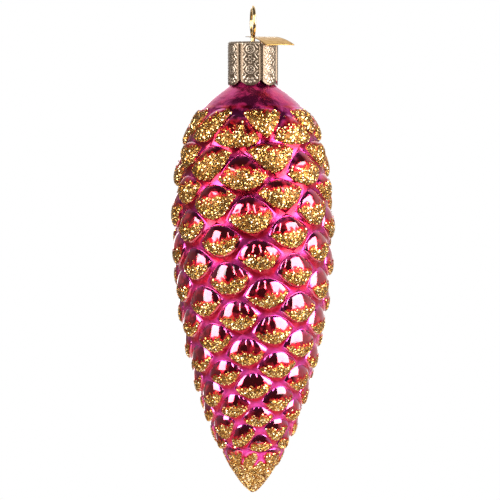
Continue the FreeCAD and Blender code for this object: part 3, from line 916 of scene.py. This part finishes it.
def panel_sheet(inset, rows, rounding, embossed):
    """Grid of points of all panels, from the crown's corner to the lower edge."""
    shares = np.linspace(-1, 1, PANEL_COLUMNS + 1)[:-1]
    corner = CAP_CORNER - inset / 2
    start = cap_top - inset - corner
    distance, across = panel_point(shares, inset)
    low = tongue_edge(shares)
    grid, marks = [], []
    for panel in range(PANELS):
        bearing = CAP_TURN + 360 / PANELS * panel
        out, side = compass(bearing), compass(bearing + 90)
        column, stamped = [], []
        for angle in rounding:
            radius = CAP_RADIUS - inset
            factor = (radius - corner + corner * math.cos(angle)) / radius
            flat = out * (distance * factor)[:, None] + side * (across * factor)[:, None]
            flat[:, 2] = start + corner * math.sin(angle)
            column.append(flat)
            stamped.append(np.full(len(shares), PLAIN_STAMP))
        for row in range(rows + 1):
            level = start + (low - start) * row / rows
            raised = lines = np.zeros_like(shares)
            if embossed:
                fade = np.clip((start + 0.2 - level) / 0.3, 0, 1)
                fade = fade * np.clip((level - low) / 0.15, 0, 1)
                at_fold = np.clip((1 - np.abs(shares)) * 9, 0, 1)
                lines = emboss_height(across, cap_top - level) * fade * at_fold
                raised = EMBOSS * (lines - EMBOSS_SINK)
            flat = out * (distance + raised)[:, None] + side * across[:, None]
            flat[:, 2] = level
            column.append(flat)
            stamped.append(lines)
        grid.append(np.stack(column))
        marks.append(np.stack(stamped))
    return np.concatenate(grid, axis=1) * MM, np.concatenate(marks, axis=1)


def loop_point(out, level):
    """Point in the plane of the wire loop, in mm."""
    return compass(LOOP_TURN) * out + np.array([0, 0, level])


def wire_hole(side, play):
    """Centre and radius of the hole round a leg of the wire, in metres."""
    x, y, _ = loop_point(side * LEG_SPACING / 2, 0) * MM
    return (x, y), (WIRE_DIAMETER + play) / 2 * MM


def inside_outline(x, y, outline, margin):
    """Whether a point lies inside a closed outline, and not too near its edge."""
    after = np.roll(outline, -1, axis=0)
    crosses = (outline[:, 1] > y) != (after[:, 1] > y)
    gaps = np.where(after[:, 1] == outline[:, 1], 1e-12, after[:, 1] - outline[:, 1])
    cut = outline[:, 0] + (y - outline[:, 1]) / gaps * (after[:, 0] - outline[:, 0])
    inside = np.count_nonzero(crosses & (cut > x)) % 2 == 1
    if not inside or margin == 0:
        return inside
    return np.hypot(outline[:, 0] - x, outline[:, 1] - y).min() > margin


def outside_holes(x, y, holes, factor, margin):
    """Whether a point lies outside all round holes, each widened by a factor and a margin."""
    return all(math.hypot(x - hx, y - hy) > radius * factor + margin
               for (hx, hy), radius in holes)


def plate_with_holes(ring, holes, spacing):
    """Triangles over a closed flat outline with round holes, and the points they use."""
    flat = [Vector((x, y)) for x, y in ring]
    edges = [(place, (place + 1) % len(flat)) for place in range(len(flat))]
    for (x, y), radius in holes:
        start = len(flat)
        for place in range(HOLE_SIDES):
            angle = 2 * math.pi * place / HOLE_SIDES
            flat.append(Vector((x + radius * math.cos(angle), y + radius * math.sin(angle))))
            edges.append((start + place, start + (place + 1) % HOLE_SIDES))
    low = np.min([tuple(point) for point in flat], axis=0)
    high = np.max([tuple(point) for point in flat], axis=0)
    outline = np.array(ring)
    for x in np.arange(low[0], high[0], spacing):
        for y in np.arange(low[1], high[1], spacing):
            clear = outside_holes(x, y, holes, 1, spacing * 0.5)
            if clear and inside_outline(x, y, outline, spacing * 0.4):
                flat.append(Vector((x, y)))
    result = delaunay_2d_cdt(flat, edges, [], 1, 1e-9)
    places = np.array([tuple(point) for point in result[0]])
    kept = []
    for face in result[2]:
        x, y = places[list(face)].mean(axis=0)
        if outside_holes(x, y, holes, 0.98, 0) and inside_outline(x, y, outline, 0):
            kept.append(tuple(face))
    return places, kept


def build_cap():
    """Embossed outside, plain inside and a top with two wire holes."""
    outside, stamp = panel_sheet(0, PANEL_ROWS, OUTER_ROUNDING, True)
    inside, _ = panel_sheet(CAP_WALL, INNER_ROWS, INNER_ROUNDING, False)
    columns = outside.shape[1]
    blocks = [outside.reshape(-1, 3), inside.reshape(-1, 3)]
    start = len(blocks[0])
    faces = grid_faces(len(outside), columns)
    faces += grid_faces(len(inside), columns, start, flip=True)
    last_out = (len(outside) - 1) * columns
    last_in = start + (len(inside) - 1) * columns
    faces += [(last_out + place, last_in + place, last_in + (place + 1) % columns,
               last_out + (place + 1) % columns) for place in range(columns)]
    start += len(blocks[1])
    holes = [wire_hole(side, HOLE_PLAY) for side in (1, -1)]
    for sheet, level, top in ((outside, cap_top, True), (inside, cap_top - CAP_WALL, False)):
        places, plate = plate_with_holes(sheet[0][:, :2], holes, PLATE_SPACING)
        block = np.column_stack([places, np.full(len(places), level * MM)])
        plate = [tuple(corner + start for corner in face) for face in plate]
        if top:
            depth, size, reach = TOP_DENTS
            near = np.hypot(block[:, 0], block[:, 1]) < reach * MM
            block[:, 2] += depth * MM * noise_at(block, size) * near
        faces += plate if top else [face[::-1] for face in plate]
        blocks.append(block)
        start += len(block)
    points = np.concatenate(blocks)
    stamp = np.concatenate([stamp.reshape(-1), np.full(len(points) - stamp.size, PLAIN_STAMP)])
    points, faces, (stamp,) = weld(points, faces, [stamp])
    return make_object("stamped_cap", points, faces, stamp=stamp)


# The dark colour between the stamped lines is painted shade in the recesses.
cap_metal = metal_material("stamped_gold_metal", (0.59, 0.475, 0.365), (0.30, 0.21, 0.135),
                           roughness=0.26, grain=900, recess_shade=(0.16, 0.11, 0.07), metallic=0.72)
finish_piece(build_cap(), "cap", cap_metal)


# Hanger wire

WIRE_SIDES = 24
WIRE_END = 0.8  # of the radius
LOOP_STEPS = 72
FOOT_STEPS = 14
BEND_STEPS = 8


def arc_points(start, middle, end, steps):
    """Points on the circle through three points of a plane."""
    (ax, ay), (bx, by), (cx, cy) = start, middle, end
    a, b, c = [x * x + y * y for x, y in (start, middle, end)]
    d = 2 * (ax * (by - cy) + bx * (cy - ay) + cx * (ay - by))
    ux = (a * (by - cy) + b * (cy - ay) + c * (ay - by)) / d
    uy = (a * (cx - bx) + b * (ax - cx) + c * (bx - ax)) / d
    radius = math.hypot(ax - ux, ay - uy)
    first, mid, last = [math.atan2(y - uy, x - ux) for x, y in (start, middle, end)]
    sweep = (last - first) % (2 * math.pi)
    if (mid - first) % (2 * math.pi) > sweep:
        sweep -= 2 * math.pi
    angles = [first + sweep * step / steps for step in range(steps + 1)]
    return [(ux + radius * math.cos(angle), uy + radius * math.sin(angle)) for angle in angles]


def hanger_route():
    """Centre line of the wire as distances from the axis and heights, in the loop's plane."""
    centre = WIRE_DIAMETER / 2 - LOOP_RADIUS
    out = LEG_SPACING / 2
    foot_out = out + FOOT_RADIUS
    foot_drop = math.sqrt((LOOP_RADIUS + FOOT_RADIUS) ** 2 - foot_out ** 2)
    share = LOOP_RADIUS / (LOOP_RADIUS + FOOT_RADIUS)
    touch = (foot_out * share, centre - foot_drop * share)
    turn = math.atan2(foot_drop, foot_out) / 2
    foot_level = centre - foot_drop
    foot_middle = (foot_out - FOOT_RADIUS * math.cos(turn),
                   foot_level + FOOT_RADIUS * math.sin(turn))
    bend_level = cap_top - LEG_RUN
    contact = neck_radius - GLASS_WALL - LEG_PLAY - WIRE_DIAMETER / 2
    spread = math.atan2(contact - out, bend_level - neck_end)
    tangent = LEG_BEND * math.tan(spread / 2)
    end_level = neck_end - LEG_TAIL
    end = (out + math.tan(spread) * (bend_level - end_level), end_level)
    bend_low = (out + tangent * math.sin(spread), bend_level - tangent * math.cos(spread))
    bend_middle = (out + LEG_BEND * (1 - math.cos(spread / 2)),
                   bend_level + tangent - LEG_BEND * math.sin(spread / 2))
    bend_high = (out, bend_level + tangent)
    leg = [end] + arc_points(bend_low, bend_middle, bend_high, BEND_STEPS)
    leg += arc_points((out, foot_level), foot_middle, touch, FOOT_STEPS)
    loop = arc_points(touch, (0, WIRE_DIAMETER / 2), (-touch[0], touch[1]), LOOP_STEPS)
    return leg + loop[1:-1] + [(-x, y) for x, y in reversed(leg)]


def build_wire():
    """Round wire along its route, with rounded ends."""
    route = np.array(hanger_route())
    tangent = np.gradient(route, axis=0)
    tangent /= np.linalg.norm(tangent, axis=1)[:, None]
    angle = np.arange(WIRE_SIDES) * 2 * math.pi / WIRE_SIDES
    plane = compass(LOOP_TURN)
    across = compass(LOOP_TURN + 90)
    radius = np.full(len(route), WIRE_DIAMETER / 2)
    radius[[0, -1]] *= WIRE_END
    blocks = []
    for (out, level), (along_out, along_level), size in zip(route, tangent, radius):
        middle = plane * out + np.array([0, 0, level])
        inwards = plane * along_level - np.array([0, 0, along_out])
        ring = np.cos(angle)[:, None] * inwards + np.sin(angle)[:, None] * across
        blocks.append(middle + size * ring)
    faces = grid_faces(len(route), WIRE_SIDES)
    faces.append(tuple(range(WIRE_SIDES)))
    last = (len(route) - 1) * WIRE_SIDES
    faces.append(tuple(reversed(range(last, last + WIRE_SIDES))))
    return make_object("brass_wire_hanger", np.concatenate(blocks) * MM, faces)


wire_metal = metal_material("brass_wire", (0.88, 0.61, 0.27), (0.6, 0.34, 0.12),
                            roughness=0.2, grain=500)
finish_piece(build_wire(), "hanger_wire", wire_metal)


# Hang tag

TAG_SIDE_SHARES = np.linspace(0.02, 0.98, 36)
TAG_SPACING = 0.3 * MM
TAG_BORDER = (0.05, 0.55, 0.16)  # height, distance from the edge and width, mm
TAG_RING = (0.05, 2.1, 0.2)  # height, radius and width, mm
TAG_DENTS = (0.04, 1.8)  # depth and size, mm
TAG_SINK = 0.05
TAG_EDGE = 0.25
TAG_UNDER = 0.01


def tag_outline(hole, along, across):
    """Outline of the tag in metres, a square with hollowed sides, and its middle in mm."""
    near = -TAG_HOLE_INSET
    far = near + TAG_LENGTH
    middle = np.array([(near + far) / 2, 0])
    corners = [(near, 0), (middle[0], TAG_WIDTH / 2), (far, 0), (middle[0], -TAG_WIDTH / 2)]
    ring = []
    for start, end in zip(corners, corners[1:] + corners[:1]):
        start, end = np.array(start), np.array(end)
        inwards = middle - (start + end) / 2
        inwards = inwards / np.linalg.norm(inwards)
        for share in TAG_SIDE_SHARES:
            bow = 4 * TAG_WAIST * share * (1 - share)
            place = start + (end - start) * share + inwards * bow
            flat = hole + along * place[0] + across * place[1]
            ring.append((flat[0] * MM, flat[1] * MM))
    return ring, hole + along * middle[0]


def build_tag():
    """Thin foil bent over the cap, with a raised border and soft dents."""
    along, across = compass(TAG_TURN), compass(TAG_TURN - 90)
    ring, centre = tag_outline(loop_point(LEG_SPACING / 2, 0), along, across)
    places, plate = plate_with_holes(ring, [wire_hole(1, TAG_PLAY)], TAG_SPACING)
    rest = CAP_RADIUS - CAP_CORNER
    lift = TAG_BOW - math.sqrt(TAG_BOW ** 2 - rest ** 2) + TAG_REST
    roll_level = cap_top + lift - TAG_BOW
    sideways = compass(TAG_CREASE_TURN + 90)
    offset = places @ sideways[:2] / MM
    outline = np.array(ring)
    edge = [np.hypot(outline[:, 0] - x, outline[:, 1] - y).min() for x, y in places]
    edge = np.array(edge) / MM
    local = places / MM - centre[:2]
    height, inset, width = TAG_BORDER
    border = height * soft_line(edge - inset, width)
    height, radius, width = TAG_RING
    raised_ring = height * soft_line(np.hypot(local[:, 0], local[:, 1]) - radius, width)
    depth, size = TAG_DENTS
    dents = depth * noise_at(np.column_stack([places, np.zeros(len(places))]), size)
    relief = (border + raised_ring + dents - TAG_SINK) * np.clip(edge / TAG_EDGE, 0, 1)
    upper = roll_level + np.sqrt((TAG_BOW + TAG_FOIL) ** 2 - offset ** 2) + relief
    lower = roll_level + np.sqrt(TAG_BOW ** 2 - offset ** 2) + TAG_UNDER
    count = len(places)
    points = np.concatenate([np.column_stack([places, level * MM]) for level in (upper, lower)])
    sides = {pair: True for face in plate for pair in zip(face, face[1:] + face[:1])}
    rims = [pair for pair in sides if pair[::-1] not in sides]
    faces = plate + [tuple(corner + count for corner in face[::-1]) for face in plate]
    faces += [(other, one, one + count, other + count) for one, other in rims]
    return make_object("foil_tag", points, faces)


foil_metal = metal_material("gold_foil", (0.74, 0.44, 0.12), (0.40, 0.19, 0.045),
                            roughness=0.26, grain=700)
finish_piece(build_tag(), "hang_tag", foil_metal)


# Studio

CAMERA_DISTANCE = 1.4
CAMERA_RISE = 1.2  # degrees above the horizon
VIEW_WIDTH = 130.0  # what the picture's width spans at the ornament, mm
VIEW_LEVEL = -62.76
VIEW_SHIFT = -0.75
SENSOR = 36.0
LAMP_DISTANCE = 0.9
SOFTBOXES = (  # bearing, elevation, width and height in degrees, radiance
    ("key_right", 62, 16, 46, 43, 7),
    ("fill_left", -61, 16, 30, 42, 6.6),
    ("strip_left", -15, 28, 3, 28, 9),
    ("strip_right", 12, 28, 3, 28, 9),
    ("rear", 185, 2, 26, 26, 2),
)
# Brightness of the studio's walls across the picture, from 0 at the left to 1 at the right
BACK_WALL = ((0.0, 0.18), (0.25, 0.22), (0.31, 1.0), (0.69, 1.0), (0.75, 0.65), (1.0, 0.55))
FRONT_WALL = ((0.03, 0.16), (0.12, 0.0), (0.93, 0.0), (0.98, 0.55))
CEILING = ((0.8, 0.88), (1.0, 0.0))
DARKEST = 0.04
AMBIENT = 0.35
WHITE = (1, 1, 1, 1)
FLOOR_RADIUS = 170.0
FLOOR_DROP = 75.0  # below the tip, mm
FLOOR_GREY = (0.9, 0.9, 0.9, 1)
FLOOR_GLOW = 0.6
FLOOR_MIRRORED = 0.4  # share of the glow that the glass shows


def stand(name, data, place, back):
    """Puts a camera or a lamp in a place, with its back to a direction."""
    thing = bpy.data.objects.new(name, data)
    thing.location = place
    thing.rotation_mode = "QUATERNION"
    thing.rotation_quaternion = back.to_track_quat("Z", "Y")
    bpy.context.collection.objects.link(thing)
    return thing


def build_camera():
    """Long lens, a little above the level of the ornament."""
    data = bpy.data.cameras.new("camera")
    data.sensor_width = SENSOR
    data.lens = SENSOR * CAMERA_DISTANCE / (VIEW_WIDTH * MM)
    data.clip_start = 0.05
    data.clip_end = 20
    rise = math.radians(CAMERA_RISE)
    target = Vector((VIEW_SHIFT * MM, 0, VIEW_LEVEL * MM))
    back = Vector((0, -math.cos(rise), math.sin(rise)))
    bpy.context.scene.camera = stand("camera", data, target + back * CAMERA_DISTANCE, back)


def softbox(name, bearing, elevation, width, height, radiance):
    """Rectangular lamp that looks at the ornament."""
    data = bpy.data.lights.new(name, "AREA")
    data.shape = "RECTANGLE"
    data.size = 2 * LAMP_DISTANCE * math.tan(math.radians(width / 2))
    data.size_y = 2 * LAMP_DISTANCE * math.tan(math.radians(height / 2))
    data.energy = 4 * radiance * data.size * data.size_y
    turn, rise = math.radians(bearing), math.radians(elevation)
    out = Vector((math.sin(turn) * math.cos(rise), -math.cos(turn) * math.cos(rise),
                  math.sin(rise)))
    stand(name, data, Vector((0, 0, VIEW_LEVEL * MM)) + out * LAMP_DISTANCE, out)


def build_world():
    """White background, and a studio with a dark ceiling for the mirror to show."""
    world = bpy.data.worlds.new("studio")
    bpy.context.scene.world = world
    world.use_nodes = True
    tree = world.node_tree
    tree.nodes.clear()
    path = add_node(tree, "LightPath")
    direction = add_node(tree, "TexCoord").outputs["Generated"]
    x, y, z = add_node(tree, "SeparateXYZ", {"Vector": direction}).outputs
    across = stretch(tree, x, ((-1.0, 1.0), (0.0, 1.0)))
    back_wall, front_wall = [
        colour_ramp(tree, across, [(place, (shade,) * 3) for place, shade in wall])
        for wall in (BACK_WALL, FRONT_WALL)]
    walls = mix_colours(tree, stretch(tree, y, ((0, 0.3), (0, 1))), front_wall, back_wall)
    lit = math_node(tree, "MULTIPLY", walls, stretch(tree, z, CEILING))
    level = math_node(tree, "MAXIMUM", lit, DARKEST)
    studio, ambient, white = [
        joined(tree, "Background", colour, strength)
        for colour, strength in ((level, 1.0), (WHITE, AMBIENT), (WHITE, 1.0))]
    shown = joined(tree, "MixShader", path.outputs["Is Glossy Ray"], ambient, studio)
    final = joined(tree, "MixShader", path.outputs["Is Camera Ray"], shown, white)
    add_node(tree, "OutputWorld", {"Surface": final})


def build_floor():
    """Pale floor below the hanging ornament, clear when seen from beneath."""
    bearings = np.arange(0, 360, 5.0)
    ring = placed(bearings, FLOOR_RADIUS, tip_level - FLOOR_DROP)
    floor = make_object("floor", ring, [tuple(range(len(bearings)))], smooth=False)
    material = bpy.data.materials.new("floor_white")
    material.use_nodes = True
    tree = material.node_tree
    tree.nodes.clear()
    path = add_node(tree, "LightPath")
    mirrored = math_node(tree, "MULTIPLY", path.outputs["Is Glossy Ray"], FLOOR_MIRRORED)
    seen = math_node(tree, "MAXIMUM", path.outputs["Is Camera Ray"], mirrored)
    diffuse = joined(tree, "BsdfDiffuse", FLOOR_GREY)
    glow = joined(tree, "Emission", WHITE, FLOOR_GLOW)
    shown = joined(tree, "MixShader", seen, diffuse, joined(tree, "AddShader", diffuse, glow))
    under = add_node(tree, "NewGeometry").outputs["Backfacing"]
    final = joined(tree, "MixShader", under, shown, joined(tree, "BsdfTransparent"))
    add_node(tree, "OutputMaterial", {"Surface": final})
    floor.data.materials.append(material)


build_camera()
build_world()
build_floor()
for lamp in SOFTBOXES:
    softbox(*lamp)
bpy.context.scene.view_settings.view_transform = "Standard"
